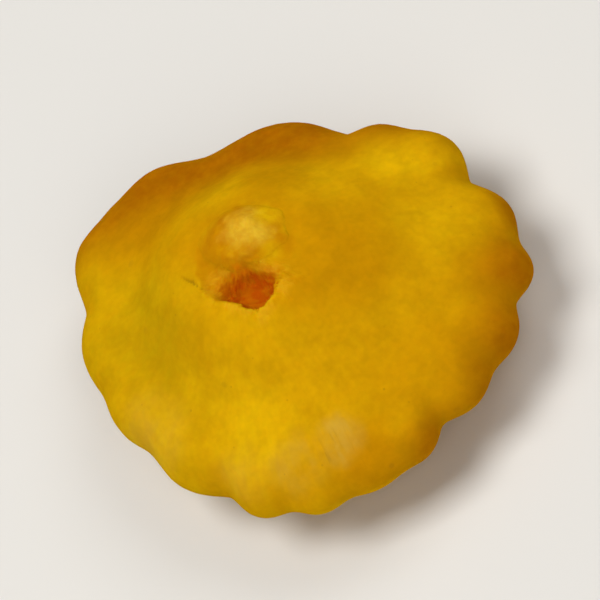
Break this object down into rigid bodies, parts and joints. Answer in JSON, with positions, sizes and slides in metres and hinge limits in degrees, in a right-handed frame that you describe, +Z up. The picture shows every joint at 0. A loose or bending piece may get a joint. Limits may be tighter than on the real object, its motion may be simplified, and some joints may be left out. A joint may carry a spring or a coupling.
{
  "type": "pattypan squash",
  "caption": "Small pickled pattypan squash with a low crown, a scalloped brim of uneven lobes, a shallow blossom-end dome and a broken stem stub in a torn hollow.",
  "frame": {"origin": "bottom centre: the middle of the fruit's plan, on the surface it stands on", "axes": "+Z up through the stem end, so that the fruit stands on its blossom end; +X and +Y lie in the plane of the brim, with the torn hollow at about 240 degrees from +X"},
  "size_m": [0.0424, 0.0458, 0.0212],
  "materials": {
    "skin": "golden-yellow pickled skin, satin and faintly mottled, slightly translucent; orange torn flesh beside the stub",
    "stem_cork": "pale yellow corky stub, fibrous and matt"
  },
  "bodies": {
    "root": {"fruit": "skin", "stem_stub": "stem_cork"}
  },
  "joints": []
}
